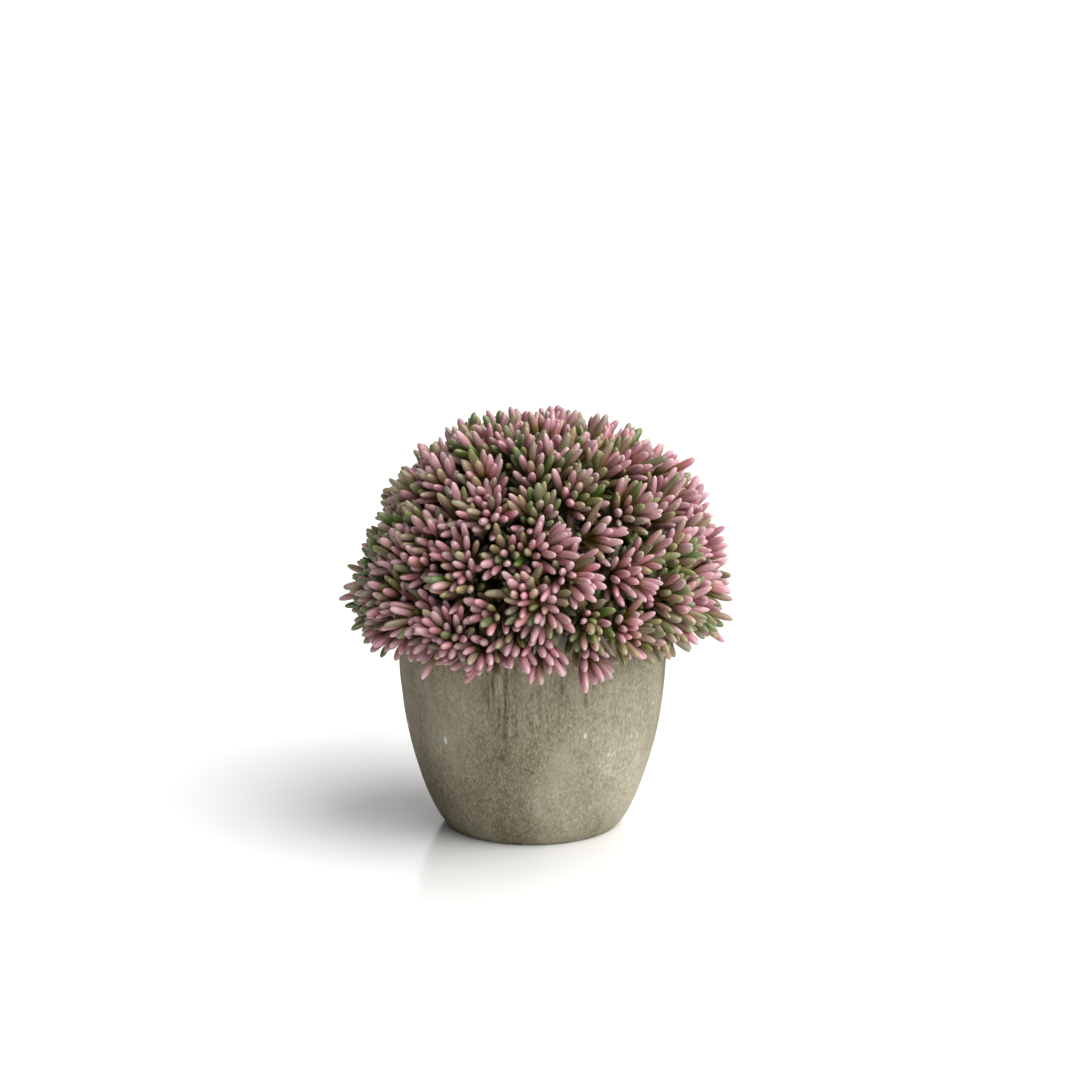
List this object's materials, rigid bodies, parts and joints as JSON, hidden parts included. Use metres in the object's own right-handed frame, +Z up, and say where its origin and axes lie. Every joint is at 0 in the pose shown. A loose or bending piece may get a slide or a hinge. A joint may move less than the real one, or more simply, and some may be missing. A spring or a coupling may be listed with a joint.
{
  "type": "potted sedum",
  "caption": "Rounded, lipless pot cast like stone, holding a dense ball of short fleshy dusty-pink and olive leaves on forked stems rooted in soil.",
  "frame": {"origin": "middle of the pot's flat underside, on the surface that the pot stands on", "axes": "+Z up along the pot's axis; +X to the right and -Y towards the viewer of the picture"},
  "size_m": [0.135, 0.135, 0.1456],
  "materials": {
    "cast_stone": "matt, finely mottled grey-brown with faint upright streaks",
    "soil": "matt, dark and crumbly",
    "leaf": "waxy satin, dusty pink at the tips and olive at the bases"
  },
  "bodies": {
    "root": {"pot": "cast_stone", "potting_soil": "soil", "leafy_stem_01": "leaf", "leafy_stem_02": "leaf", "leafy_stem_03": "leaf", "leafy_stem_04": "leaf", "leafy_stem_05": "leaf", "leafy_stem_06": "leaf", "leafy_stem_07": "leaf", "leafy_stem_08": "leaf", "leafy_stem_09": "leaf", "leafy_stem_10": "leaf", "leafy_stem_11": "leaf", "leafy_stem_12": "leaf", "leafy_stem_13": "leaf", "leafy_stem_14": "leaf", "leafy_stem_15": "leaf", "leafy_stem_16": "leaf", "leafy_stem_17": "leaf", "leafy_stem_18": "leaf", "leafy_stem_19": "leaf", "leafy_stem_20": "leaf", "leafy_stem_21": "leaf", "leafy_stem_22": "leaf", "leafy_stem_23": "leaf", "leafy_stem_24": "leaf", "leafy_stem_25": "leaf", "leafy_stem_26": "leaf", "leafy_stem_27": "leaf", "leafy_stem_28": "leaf", "leafy_stem_29": "leaf", "leafy_stem_30": "leaf", "leafy_stem_31": "leaf", "leafy_stem_32": "leaf", "leafy_stem_33": "leaf", "leafy_stem_34": "leaf", "leafy_stem_35": "leaf", "leafy_stem_36": "leaf", "leafy_stem_37": "leaf", "leafy_stem_38": "leaf", "leafy_stem_39": "leaf", "leafy_stem_40": "leaf", "leafy_stem_41": "leaf", "leafy_stem_42": "leaf"}
  },
  "joints": []
}
